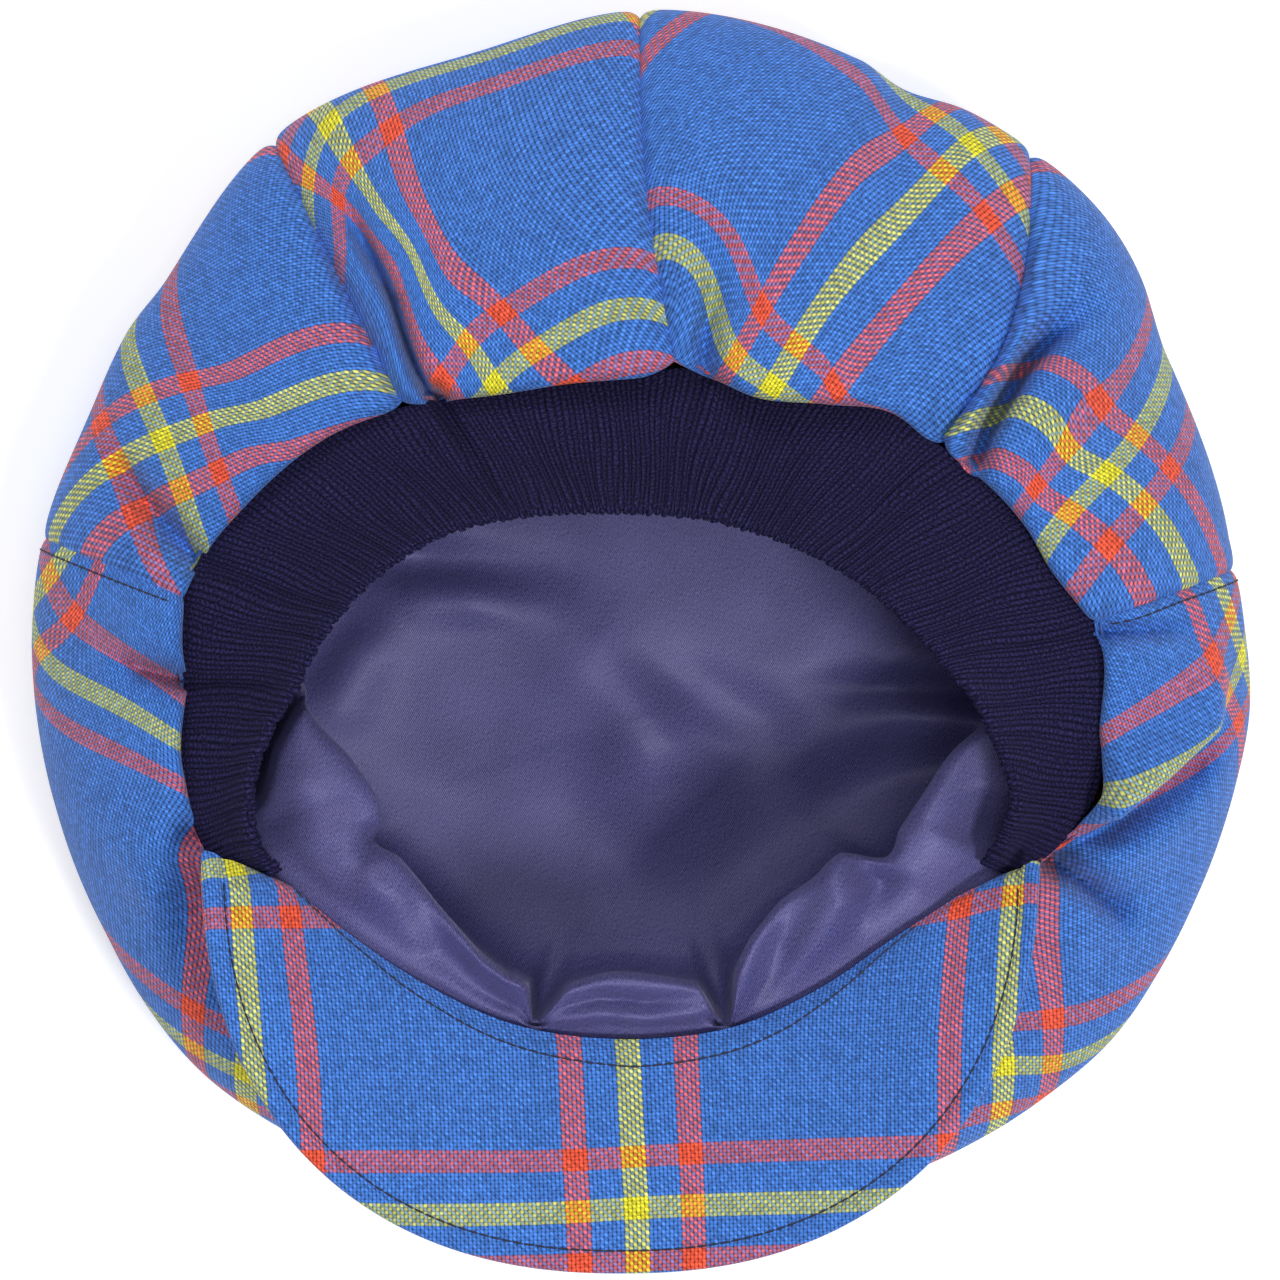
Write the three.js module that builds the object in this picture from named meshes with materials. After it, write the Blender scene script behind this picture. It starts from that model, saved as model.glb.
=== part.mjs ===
// Soft tartan cap with a peak, lying on its crown with the head opening up.
// Millimetres. X runs across the cap, -Y towards the peak, +Z up from the surface it lies on.
// The crown is a front panel and four rear panels. Inside the mouth are a knitted band and a
// loose lining, and a stiff cloth-covered peak is sewn to the front of the mouth.
import * as THREE from "three";

// Driving dimensions
const clothThickness = 1.2;
const liningThickness = 1.0;
const knitThickness = 3.0;
const peakThickness = 3.2;
const seamGap = 0.3;
const widestLevel = 30; // height of the crown's widest line above the surface
const flatReach = 0.7; // share of the crown's radius that lies flat on the surface
const tipHole = 1.0; // radius left free where the panel tips meet
const mouth = { x: 0, y: -27, halfWidth: 101.5, halfLength: 73, backPower: 2.3, frontPower: 1.75 };
const mouthHeight = 68; // height of the panels beside the mouth, at the front
const mouthBackRise = 10; // how much higher they stand at the back
const rollHeight = 5; // how far the panels puff up over their seam to the band
const rollWidth = 8; // how far from the seam the panels start to roll over
const deepestDent = 20;
const bandEnds = [-20, 200]; // azimuths of the mouth where the band stops at the peak
const bandTaper = 25; // degrees over which each end of the band grows to its full rise
const bandEndRise = 0.75; // share of the rise left at the ends
const bandOverlap = 1; // how far the band starts below the panels' seam
const liningGap = 0.6; // clearance from the lining to the mouth's seam
const liningBelowBand = 1.6; // how far the lining stays under the band's thickness
const peakOuter = { x: -4, y: -56, halfWidth: 90.5, halfLength: 92, power: 2.25 };
const peakCorner = 67; // half of the azimuth that the peak's seam takes up
const peakOuterCorner = 88; // half of the azimuth that its free edge takes up
const peakTilt = { middle: 23, corner: 36 }; // degrees up from the seam
const peakBow = 0.9; // below 1 the peak curves over towards its free edge
const peakClearance = 0.4;
const sideCurve = { reach: 0.9, rise: 1.1 }; // powers of the side's section
const undersideCurve = { inward: 1.2, rise: 1.6 }; // powers of the underside's section

// Radius of the widest line about the middle of the crown. The seams make soft corners.
const outline = [
  { azimuth: 5, radius: 134.5 },
  { azimuth: 24, radius: 130.3 },
  { azimuth: 44, radius: 134.8 },
  { azimuth: 67, radius: 130 },
  { azimuth: 89, radius: 132 },
  { azimuth: 107, radius: 127.6 },
  { azimuth: 128, radius: 132 },
  { azimuth: 148, radius: 128.6 },
  { azimuth: 174, radius: 135.4 },
  { azimuth: 205, radius: 141.6 },
  { azimuth: 237, radius: 145.5 },
  { azimuth: 270, radius: 143 },
  { azimuth: 300, radius: 145.5 },
  { azimuth: 330, radius: 144 },
  { azimuth: 350, radius: 139.6 },
];

// Each seam starts at an azimuth on the widest line and ends at an azimuth of the mouth.
const seams = [
  { name: "right", outer: 2, inner: 11 },
  { name: "rear_right", outer: 48, inner: 41 },
  { name: "rear_middle", outer: 90, inner: 84 },
  { name: "rear_left", outer: 129, inner: 125 },
  { name: "left", outer: 175, inner: 166 },
  { name: "front", outer: 270, inner: 270 },
];

// Dents of the underside: where they are, how far in from the widest line (0) to the mouth (1).
const dents = [
  { azimuth: 48, width: 6, start: 0.1, end: 1.2, depth: 5 },
  { azimuth: 90, width: 5, start: 0.1, end: 1.2, depth: 5 },
  { azimuth: 129, width: 6, start: 0.1, end: 1.2, depth: 8 },
  { azimuth: 164, width: 5, start: 0.1, end: 1.2, depth: 6 },
  { azimuth: 200, width: 5, start: 0.2, end: 1.2, depth: 4 },
  { azimuth: 334, width: 6, start: 0.2, end: 1.2, depth: 5 },
  { azimuth: 350, width: 5, start: 0.3, end: 1.2, depth: 4 },
];

// The band's free edge: how far in over the hollow and how far up it stands from its seam.
const bandEdge = [
  { azimuth: -20, inward: 14, rise: 22 },
  { azimuth: 0, inward: 24, rise: 22 },
  { azimuth: 30, inward: 33, rise: 19 },
  { azimuth: 60, inward: 30, rise: 18 },
  { azimuth: 90, inward: 27.5, rise: 19 },
  { azimuth: 120, inward: 30, rise: 19 },
  { azimuth: 140, inward: 31, rise: 20 },
  { azimuth: 165, inward: 25, rise: 22 },
  { azimuth: 180, inward: 20, rise: 24 },
  { azimuth: 200, inward: 12, rise: 24 },
];

// Crest of the bunched lining at the front of the mouth, as a share of the mouth's radius.
const liningRidge = [
  { azimuth: 178, reach: 0.74 },
  { azimuth: 196, reach: 0.66 },
  { azimuth: 216, reach: 0.72 },
  { azimuth: 235, reach: 0.8 },
  { azimuth: 252, reach: 0.87 },
  { azimuth: 270, reach: 0.83 },
  { azimuth: 288, reach: 0.83 },
  { azimuth: 305, reach: 0.67 },
  { azimuth: 325, reach: 0.62 },
  { azimuth: 342, reach: 0.67 },
  { azimuth: 358, reach: 0.74 },
];

// Section of the lining from the mouth to its middle. At the back, reach is a share of the mouth's
// radius. At the front, towards is the share of the way in to the ridge. Level is a share of the
// seam's height.
const liningSection = [
  { reach: 1.0, level: 0.99, towards: 0, frontLevel: 0.99 },
  { reach: 1.0, level: 0.88, towards: 0.35, frontLevel: 1.03 },
  { reach: 1.01, level: 0.76, towards: 0.75, frontLevel: 1.07 },
  { reach: 1.03, level: 0.62, towards: 0.95, frontLevel: 1.05 },
  { reach: 1.03, level: 0.46, towards: 1, frontLevel: 0.94 },
  { reach: 1.0, level: 0.3, towards: 0.9, frontLevel: 0.66 },
  { reach: 0.93, level: 0.18, towards: 0.75, frontLevel: 0.36 },
  { reach: 0.8, level: 0.11, towards: 0.85, frontLevel: 0.17 },
  { reach: 0.62, level: 0.08, towards: 1.2, frontLevel: 0.09 },
  { reach: 0.38, level: 0.07, towards: 2.0, frontLevel: 0.07 },
  { reach: 0.16, level: 0.07, towards: 2.8, frontLevel: 0.07 },
];

// Section of the band, bottom edge to folded top edge and back down inside: share of its width.
const bandSection = [
  { up: 0, out: 1 },
  { up: 0.25, out: 1 },
  { up: 0.5, out: 1 },
  { up: 0.75, out: 1 },
  { up: 0.96, out: 0.9 },
  { up: 1, out: 0.5 },
  { up: 0.96, out: 0.1 },
  { up: 0.75, out: 0 },
  { up: 0.5, out: 0 },
  { up: 0.25, out: 0 },
  { up: 0, out: 0 },
];

const radians = Math.PI / 180;

function smooth(from, to, value) {
  const share = Math.min(1, Math.max(0, (value - from) / (to - from)));
  return share * share * (3 - 2 * share);
}

function mix(from, to, share) {
  return from + (to - from) * share;
}

// Value of a closed table at any azimuth, through its rows by a Catmull-Rom curve.
function aroundTable(rows, key, value, azimuth) {
  const count = rows.length;
  const turn = ((azimuth - rows[0][key]) % 360 + 360) % 360;
  let row = 0;
  while (row < count - 1 && rows[row + 1][key] - rows[0][key] <= turn) row += 1;
  const at = (index) => rows[((index % count) + count) % count];
  const start = at(row)[key] - rows[0][key];
  const end = row === count - 1 ? 360 : at(row + 1)[key] - rows[0][key];
  const t = (turn - start) / (end - start);
  const [p0, p1, p2, p3] = [-1, 0, 1, 2].map((step) => at(row + step)[value]);
  const bend = (p2 - p0) * t + (2 * p0 - 5 * p1 + 4 * p2 - p3) * t * t;
  return p1 + 0.5 * (bend + (3 * p1 - p0 - 3 * p2 + p3) * t * t * t);
}

// Azimuth on the mouth that an azimuth on the widest line runs in to.
function mouthAzimuth(azimuth) {
  const turn = azimuth < seams[0].outer ? azimuth + 360 : azimuth;
  const rows = [...seams, { outer: seams[0].outer + 360, inner: seams[0].inner + 360 }];
  const next = Math.max(1, rows.findIndex((row) => row.outer > turn));
  const from = rows[next - 1];
  const to = rows[next];
  return mix(from.inner, to.inner, (turn - from.outer) / (to.outer - from.outer));
}

function superellipse(shape, power, azimuth) {
  const across = Math.abs(Math.cos(azimuth * radians)) / shape.halfWidth;
  const along = Math.abs(Math.sin(azimuth * radians)) / shape.halfLength;
  return (across ** power + along ** power) ** (-1 / power);
}

// How much an azimuth of the mouth belongs to the front: 0 at the back, 1 at the peak.
function frontShare(azimuth) {
  return smooth(0.1, 0.5, -Math.sin(azimuth * radians));
}

function mouthRadius(azimuth) {
  const power = mix(mouth.backPower, mouth.frontPower, smooth(-0.2, 0.2, -Math.sin(azimuth * radians)));
  return superellipse(mouth, power, azimuth);
}

// Height of the panels beside the mouth, and of the seam that they roll down to.
function mouthLevel(azimuth) {
  const back = Math.max(0, Math.sin(azimuth * radians));
  return mouthHeight + mouthBackRise * back * back;
}

function seamLevel(azimuth) {
  return mouthLevel(azimuth) - rollHeight * (1 - frontShare(azimuth));
}

function mouthPoint(azimuth, offset, level) {
  const radius = mouthRadius(azimuth) + offset;
  const x = mouth.x + radius * Math.cos(azimuth * radians);
  const y = mouth.y + radius * Math.sin(azimuth * radians);
  return new THREE.Vector3(x, y, level);
}

function dentDepth(azimuth, inward) {
  let depth = 0;
  for (const dent of dents) {
    const across = (((azimuth - dent.azimuth + 540) % 360) - 180) / dent.width;
    const along = smooth(dent.start, 0.75 * dent.end, inward);
    depth += dent.depth * along * Math.exp(-across * across);
  }
  return depth;
}

// Outer face of the crown. Along 0 to 1 is the flat floor, 1 to 2 the side, 2 to 3 the underside
// in to the mouth, where the cloth rolls over before it reaches the seam.
function crownPoint(azimuth, along) {
  const radius = aroundTable(outline, "azimuth", "radius", azimuth);
  const direction = new THREE.Vector3(Math.cos(azimuth * radians), Math.sin(azimuth * radians), 0);
  if (along <= 1) return direction.multiplyScalar(mix(tipHole, flatReach * radius, along));
  if (along <= 2) {
    const angle = (along - 1) * 90 * radians;
    const reach = mix(flatReach, 1, Math.sin(angle) ** sideCurve.reach);
    const point = direction.multiplyScalar(reach * radius);
    return point.setZ(widestLevel * (1 - Math.cos(angle) ** sideCurve.rise));
  }
  const inner = mouthAzimuth(azimuth);
  const inward = along - 2;
  const start = direction.multiplyScalar(radius);
  const end = mouthPoint(inner, seamGap, 0);
  const rise = (1 - (1 - inward) ** undersideCurve.inward) ** (1 / undersideCurve.rise);
  const dent = dentDepth(azimuth, inward) * (1 - frontShare(inner));
  const level = mix(widestLevel, mouthLevel(inner), rise) - Math.min(dent, deepestDent * rise);
  const roll = smooth(1 - rollWidth / start.distanceTo(end), 1, inward);
  return start.lerp(end, inward).setZ(mix(level, seamLevel(inner), roll));
}

// Closed mesh between two matching grids of points, with walls round their edges. A grid whose
// columns close on themselves has no side walls, and may end in one middle point.
function shell(name, material, outer, inner, { closedRound = false, outerMiddle, innerMiddle } = {}) {
  const rows = outer.length;
  const columns = outer[0].length;
  const points = [...outer.flat(), ...inner.flat()];
  const size = rows * columns;
  const index = (face, row, column) => face * size + row * columns + (column % columns);
  const triangles = [];
  const quad = (a, b, c, d) => triangles.push(a, b, c, a, c, d);
  const spans = closedRound ? columns : columns - 1;
  for (let row = 0; row < rows - 1; row += 1) {
    for (let column = 0; column < spans; column += 1) {
      const corners = (face) => [
        index(face, row, column),
        index(face, row, column + 1),
        index(face, row + 1, column + 1),
        index(face, row + 1, column),
      ];
      quad(...corners(0));
      quad(...corners(1).reverse());
    }
  }
  for (let column = 0; column < spans; column += 1) {
    const first = [index(0, 0, column), index(1, 0, column), index(1, 0, column + 1), index(0, 0, column + 1)];
    quad(...first);
    if (outerMiddle) continue;
    const last = rows - 1;
    const a = index(0, last, column);
    quad(a, index(0, last, column + 1), index(1, last, column + 1), index(1, last, column));
  }
  if (outerMiddle) {
    points.push(outerMiddle, innerMiddle);
    for (let column = 0; column < columns; column += 1) {
      const last = rows - 1;
      triangles.push(index(0, last, column), index(0, last, column + 1), 2 * size);
      triangles.push(index(1, last, column + 1), index(1, last, column), 2 * size + 1);
    }
  }
  if (!closedRound) {
    for (let row = 0; row < rows - 1; row += 1) {
      const right = columns - 1;
      quad(index(0, row, 0), index(0, row + 1, 0), index(1, row + 1, 0), index(1, row, 0));
      quad(index(0, row, right), index(1, row, right), index(1, row + 1, right), index(0, row + 1, right));
    }
  }
  const geometry = new THREE.BufferGeometry();
  geometry.setAttribute("position", new THREE.Float32BufferAttribute(points.flatMap((p) => p.toArray()), 3));
  geometry.setIndex(triangles);
  const mesh = new THREE.Mesh(geometry, material);
  mesh.name = name;
  return mesh;
}

// The same grid moved along its own normals.
function offsetGrid(pointAt, across, along, distance) {
  const step = 0.004;
  return along.map((u) => across.map((v) => {
    const span = step * 20;
    const du = pointAt(v, u + (u < 1.5 ? step : -step)).sub(pointAt(v, u)).multiplyScalar(u < 1.5 ? 1 : -1);
    const dv = pointAt(v + span, u).sub(pointAt(v - span, u));
    return pointAt(v, u).addScaledVector(dv.cross(du).normalize(), -distance);
  }));
}

function spread(from, to, count) {
  return Array.from({ length: count + 1 }, (_, index) => mix(from, to, index / count));
}

// Columns crowd towards the two seams, where the cloth bends most.
function crowded(from, to, count) {
  return spread(0, 1, count).map((share) => mix(from, to, mix(share, 0.5 - 0.5 * Math.cos(share * Math.PI), 0.6)));
}

const tartan = new THREE.MeshStandardMaterial({ color: 0x3e70c6, roughness: 0.9, metalness: 0 });
const knit = new THREE.MeshStandardMaterial({ color: 0x1e1c3c, roughness: 0.95, metalness: 0 });
const satin = new THREE.MeshStandardMaterial({ color: 0x4a466e, roughness: 0.45, metalness: 0 });

function crownPanel(name, from, to, columns) {
  const along = [0, 0.5, ...spread(1, 2, 6), ...spread(2.05, 3, 9)];
  const across = crowded(from, to, columns);
  const keepClear = (azimuth, u) => {
    const point = crownPoint(azimuth, u);
    const radius = Math.max(Math.hypot(point.x, point.y), tipHole);
    const side = azimuth < (from + to) / 2 ? 1 : -1;
    const share = Math.abs(azimuth - (from + to) / 2) / ((to - from) / 2);
    return side * share * ((0.5 * seamGap) / radius / radians);
  };
  const pointAt = (azimuth, u) => crownPoint(azimuth + keepClear(azimuth, u), u);
  const outer = along.map((u) => across.map((azimuth) => pointAt(azimuth, u)));
  const inner = offsetGrid(pointAt, across, along, clothThickness);
  return shell(name, tartan, outer, inner);
}

function lining() {
  const across = spread(0, 360, 48).slice(0, -1);
  const last = liningSection.length - 1;
  const pointAt = (azimuth, row) => {
    const from = liningSection[Math.floor(row)];
    const to = liningSection[Math.min(last, Math.floor(row) + 1)];
    const step = (key) => mix(from[key], to[key], row - Math.floor(row));
    const front = smooth(-0.25, 0.2, -Math.sin(azimuth * radians));
    const atBand = 1 - smooth(0.36, 0.6, -Math.sin(azimuth * radians));
    const radius = mouthRadius(azimuth) - liningGap;
    const ridge = aroundTable(liningRidge, "azimuth", "reach", azimuth);
    const reach = mix(step("reach"), 1 - (1 - ridge) * step("towards"), front);
    const inwards = smooth(last - 4, last, row);
    const calm = mix(reach, step("reach"), inwards);
    const top = seamLevel(azimuth) - (knitThickness + liningBelowBand) * atBand;
    const level = mix(step("level"), step("frontLevel"), front) * top;
    return mouthPoint(azimuth, (calm - 1) * radius - liningGap, level);
  };
  const along = spread(0, last, last);
  const face = along.map((u) => across.map((azimuth) => pointAt(azimuth, u)));
  const back = along.map((u) => across.map((azimuth) => {
    const du = pointAt(azimuth, Math.max(0, u - 0.3)).sub(pointAt(azimuth, Math.min(u + 0.3, last)));
    const dv = pointAt(azimuth + 0.5, u).sub(pointAt(azimuth - 0.5, u));
    return pointAt(azimuth, u).addScaledVector(dv.cross(du).normalize(), -liningThickness);
  }));
  const middle = new THREE.Vector3(mouth.x, mouth.y, face.at(-1)[0].z);
  const under = middle.clone().setZ(middle.z - liningThickness);
  return shell("lining", satin, back, face, { closedRound: true, outerMiddle: under, innerMiddle: middle });
}

function band() {
  const [from, to] = bandEnds;
  const across = spread(from, to, 44);
  const pointAt = (azimuth, row) => {
    const end = smooth(0, bandTaper, Math.min(azimuth - from, to - azimuth));
    const inward = aroundTable(bandEdge, "azimuth", "inward", azimuth);
    const rise = aroundTable(bandEdge, "azimuth", "rise", azimuth) * mix(bandEndRise, 1, end);
    const tall = Math.hypot(inward, rise) * row.up;
    const angle = Math.atan2(rise, inward);
    const thick = knitThickness * (1 - row.out);
    const offset = -seamGap - thick * Math.sin(angle) - tall * Math.cos(angle);
    const level = seamLevel(azimuth) - bandOverlap + tall * Math.sin(angle) - thick * Math.cos(angle);
    return mouthPoint(azimuth, offset, level);
  };
  const outside = bandSection.slice(0, 6);
  const inside = bandSection.slice(5).reverse();
  const outer = outside.map((row) => across.map((azimuth) => pointAt(azimuth, row)));
  const inner = inside.map((row) => across.map((azimuth) => pointAt(azimuth, row)));
  return shell("knit_band", knit, outer, inner);
}

function peak() {
  const across = crowded(-1, 1, 30);
  const along = spread(0, 1, 7);
  const pointAt = (side, out) => {
    const innerAzimuth = 270 + side * peakCorner;
    const inner = mouthPoint(innerAzimuth, seamGap, seamLevel(innerAzimuth) + peakClearance);
    const outerAzimuth = 270 + side * peakOuterCorner;
    const reach = superellipse(peakOuter, peakOuter.power, outerAzimuth);
    const x = peakOuter.x + reach * Math.cos(outerAzimuth * radians);
    const y = peakOuter.y + reach * Math.sin(outerAzimuth * radians);
    const outer = new THREE.Vector3(x, y, inner.z);
    const tilt = mix(peakTilt.middle, peakTilt.corner, smooth(0, 1, Math.abs(side))) * radians;
    const rise = inner.distanceTo(outer) * Math.tan(tilt);
    const level = inner.z + rise * out ** peakBow;
    return inner.lerp(outer, out).setZ(level);
  };
  const upper = along.map((out) => across.map((side) => pointAt(side, out).add(new THREE.Vector3(0, 0, peakThickness))));
  const lower = along.map((out) => across.map((side) => pointAt(side, out)));
  return shell("peak", tartan, lower, upper);
}

const group = new THREE.Group();
const panels = [
  { name: "rear_panel_right", columns: 8 },
  { name: "rear_panel_middle_right", columns: 8 },
  { name: "rear_panel_middle_left", columns: 8 },
  { name: "rear_panel_left", columns: 8 },
];
panels.forEach(({ name, columns }, index) => {
  group.add(crownPanel(name, seams[index].outer, seams[index + 1].outer, columns));
});
group.add(crownPanel("front_panel", seams[4].outer, seams[0].outer + 360, 26));
group.add(lining());
group.add(band());
group.add(peak());

// The origin is the middle of the whole cap's footprint, on the surface that it lies on.
const box = new THREE.Box3().setFromObject(group);
const middle = box.getCenter(new THREE.Vector3());
group.position.set(-middle.x, -middle.y, -box.min.z);
export default group;
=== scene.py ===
import math

import bpy
import numpy as np
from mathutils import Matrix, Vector


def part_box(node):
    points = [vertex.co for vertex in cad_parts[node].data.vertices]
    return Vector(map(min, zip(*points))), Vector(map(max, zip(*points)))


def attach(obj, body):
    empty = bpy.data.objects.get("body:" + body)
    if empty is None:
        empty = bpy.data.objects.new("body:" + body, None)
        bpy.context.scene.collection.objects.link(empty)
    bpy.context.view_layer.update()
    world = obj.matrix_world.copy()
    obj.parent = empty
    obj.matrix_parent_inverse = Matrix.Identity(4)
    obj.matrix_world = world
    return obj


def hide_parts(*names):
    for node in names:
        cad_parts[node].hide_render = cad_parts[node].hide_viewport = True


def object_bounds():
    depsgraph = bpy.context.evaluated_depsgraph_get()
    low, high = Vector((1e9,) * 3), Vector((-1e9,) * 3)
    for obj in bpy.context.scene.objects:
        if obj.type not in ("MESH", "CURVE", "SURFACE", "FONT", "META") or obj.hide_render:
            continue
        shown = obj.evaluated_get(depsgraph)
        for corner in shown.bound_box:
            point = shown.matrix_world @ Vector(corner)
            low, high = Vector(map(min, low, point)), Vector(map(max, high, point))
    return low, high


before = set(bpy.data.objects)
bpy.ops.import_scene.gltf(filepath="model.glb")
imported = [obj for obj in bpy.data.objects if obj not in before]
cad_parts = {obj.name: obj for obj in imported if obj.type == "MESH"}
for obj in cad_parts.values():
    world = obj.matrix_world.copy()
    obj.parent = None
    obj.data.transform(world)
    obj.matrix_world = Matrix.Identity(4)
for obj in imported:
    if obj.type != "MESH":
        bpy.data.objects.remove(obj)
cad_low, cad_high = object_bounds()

# ---------------------------------------------------------------- floor, light and camera
# The cap lies on its crown on a pale floor that glows faintly, under soft studio lamps, and is
# seen from straight above. Sizes in this section are in metres.
camera_height = 1.25
camera_forward = -0.0033
camera_lens = 151
sensor_width = 36
floor_half = 3.0
floor_clearance = 0.0002
floor_glow = 0.32
sky_strength = 0.42
lamp_aim_height = 0.03


def new_material(name, settings):
    """A material, its nodes and its shader, with constant settings on the shader's own sockets."""
    material = bpy.data.materials.new(name)
    material.use_nodes = True
    shader = material.node_tree.nodes["Principled BSDF"]
    for socket, value in settings.items():
        shader.inputs[socket].default_value = value
    return material, material.node_tree, shader


floor_mesh = bpy.data.meshes.new("floor")
floor_mesh.from_pydata(
    [(-floor_half, -floor_half, 0), (floor_half, -floor_half, 0),
     (floor_half, floor_half, 0), (-floor_half, floor_half, 0)], [], [(0, 1, 2, 3)])
floor = bpy.data.objects.new("floor", floor_mesh)
bpy.context.collection.objects.link(floor)
floor.location.z = cad_low.z - floor_clearance
floor_paint, _, _ = new_material("pale_floor", {
    "Base Color": (0.93, 0.93, 0.925, 1), "Roughness": 0.85,
    "Emission Color": (1, 1, 1, 1), "Emission Strength": floor_glow})
floor_mesh.materials.append(floor_paint)

studio = bpy.data.worlds.new("studio")
studio.use_nodes = True
sky = studio.node_tree.nodes["Background"]
sky.inputs["Color"].default_value = (0.97, 0.98, 1, 1)
sky.inputs["Strength"].default_value = sky_strength
bpy.context.scene.world = studio

# name, x, y, z, side of the square, watts
lamps = [
    ("overhead_softbox", 0.1, 0.1, 1.9, 0.6, 6.5),
    ("back_left_softbox", -0.4, 1.1, 1.05, 0.5, 6),
    ("front_right_softbox", 0.65, -0.65, 1.6, 0.35, 15.5),
]
for name, x, y, z, side, watts in lamps:
    lamp = bpy.data.lights.new(name, "AREA")
    lamp.size = side
    lamp.energy = watts
    holder = bpy.data.objects.new(name, lamp)
    holder.location = (x, y, z)
    holder.rotation_mode = "QUATERNION"
    holder.rotation_quaternion = Vector((-x, -y, lamp_aim_height - z)).to_track_quat("-Z", "Y")
    bpy.context.collection.objects.link(holder)

camera = bpy.data.objects.new("camera", bpy.data.cameras.new("camera"))
camera.data.lens = camera_lens
camera.data.sensor_width = sensor_width
camera.location = (0, camera_forward, camera_height)
bpy.context.collection.objects.link(camera)
bpy.context.scene.camera = camera
bpy.context.scene.view_settings.view_transform = "Standard"

# ---------------------------------------------------------------- crown panels
# Four rear panels and one long front panel of plain-woven wool tartan, 1.2 mm thick, sewn edge
# to edge. They lie flat on the floor, turn up at the sides and roll over at the knitted band.
# From here a piece's points are in millimetres from the middle of the crown, and azimuth 0 is
# along +X.
middle_aside = -0.15
middle_to_peak_edge = 148.0
crown_middle = np.array(
    [middle_aside, middle_to_peak_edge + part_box("peak")[0].y * 1000, 0.0])
cloth_thickness = 1.2
sharp_angle = 55
widest_level = 30
flat_reach = 0.7
tip_hole = 1.0
side_reach_power = 0.9
side_rise_power = 1.1
underside_inward_power = 1.2
underside_rise_power = 1.6
deepest_valley = 20
seam_bow_width = 16
lip_start = 0.88
lip_radius = 3.0
lip_turn = 150
front_lip_cut = 0.6
mouth = {"y": -27, "half_width": 101.5, "half_length": 73, "back_power": 2.3, "front_power": 1.75}
mouth_height = 68
mouth_back_rise = 10
seam_below_mouth = 5

# azimuth, radius of the widest line
crown_outline = [
    (5, 134.5), (24, 131.2), (33, 134.7), (40, 135.6), (50, 133.7), (56, 131.9), (62, 128.7),
    (67, 130.5), (89, 132), (107, 127.8), (128, 132.4), (146, 128.6), (153, 130.3),
    (163, 131.4), (174, 135.8), (185, 138.6), (201, 141.6), (213, 144.2), (221, 146.7),
    (228, 148), (236, 147), (250, 145), (270, 143), (290, 145), (302, 146.8), (309, 147.6),
    (316.5, 148.2), (324, 146.4), (331, 144.6), (341, 142.7), (349, 141.3), (357, 137.6),
]
# azimuth, how far the mouth's soft edge strays out from its even curve
mouth_wobble = [
    (-2, 0.4), (8, 1.6), (18, -3.7), (25, -3.4), (34, -2.4), (43, -1.3), (50, 1), (58, -1.6),
    (69, -3.3), (82, 1.6), (90, -0.3), (102, -1), (114, -1.6), (126, 0.2), (137, 1.8),
    (152, 1.2), (163, 2.7), (171, 0.6), (179, -1.1), (188, 2), (195, 5.5), (199, 6), (203, 1.5),
    (207, -1.8), (217, -1.8), (232, -0.4), (248, 1), (270, -0.2), (288, -0.3), (304, -2.8),
    (318, -5.4), (329, -5), (334.5, -2), (338.5, 1.6), (344, 3.6), (350, 3.6), (355, 1.6),
]
# azimuth on the widest line, azimuth at the mouth, how deep the seam pulls the cloth down, how
# wide the pull reaches into the panel before it and the panel after it, its bow sideways, and
# the depth of the groove along it
seams = [
    (2, 11, 2.5, 5, 5, 0, 1.2), (48, 41, 5, 1.2, 4.5, -7.5, 2), (90, 84, 4, 8, 4, 2.5, 2),
    (129.3, 128, 3.5, 2.5, 1.2, 0, 2), (175, 166, 1.8, 5, 5, 0, 0.8), (270, 270, 0, 5, 5, 0, 0),
    (362, 371, 2.5, 5, 5, 0, 1.2),
]
# azimuth, width in degrees, share of the way in where it starts and where it is full, height
hips_and_valleys = [
    (48, 12, 0.1, 0.9, -1.5), (90, 20, 0.1, 0.7, 5), (129, 10, 0.1, 0.9, -1.5),
    (164, 5, 0.1, 0.9, -2), (200, 5, 0.2, 0.9, -2), (350, 6, 0.3, 0.9, -2),
]


def smooth(start, end, value):
    share = np.clip((value - start) / (end - start), 0, 1)
    return share * share * (3 - 2 * share)


def mix(start, end, share):
    return start + (end - start) * share


def curve_through(rows, column, at, period=None):
    """A smooth curve through one column of a table, by the table's first column."""
    keys = np.array([row[0] for row in rows], float)
    values = np.array([row[column] for row in rows], float)
    if period:
        keys = np.concatenate([keys[-2:] - period, keys, keys[:2] + period])
        values = np.concatenate([values[-2:], values, values[:2]])
        at = keys[2] + np.mod(at - keys[2], period)
    else:
        keys = np.concatenate([[2 * keys[0] - keys[1]], keys, [2 * keys[-1] - keys[-2]]])
        values = np.concatenate(
            [[2 * values[0] - values[1]], values, [2 * values[-1] - values[-2]]])
    row = np.clip(np.searchsorted(keys, at, side="right") - 1, 1, len(keys) - 3)
    t = (at - keys[row]) / (keys[row + 1] - keys[row])
    before, start, end, after = values[row - 1], values[row], values[row + 1], values[row + 2]
    bend = (end - before) * t + (2 * before - 5 * start + 4 * end - after) * t * t
    return start + 0.5 * (bend + (3 * start - before - 3 * end + after) * t**3)


def around(azimuth):
    return np.stack([np.cos(np.radians(azimuth)), np.sin(np.radians(azimuth))], axis=-1)


def mouth_azimuth(azimuth):
    outer, inner = np.array(seams, float).T[:2]
    return np.interp(outer[0] + np.mod(azimuth - outer[0], 360), outer, inner)


def front_share(azimuth):
    return smooth(0.1, 0.5, -np.sin(np.radians(azimuth)))


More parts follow.
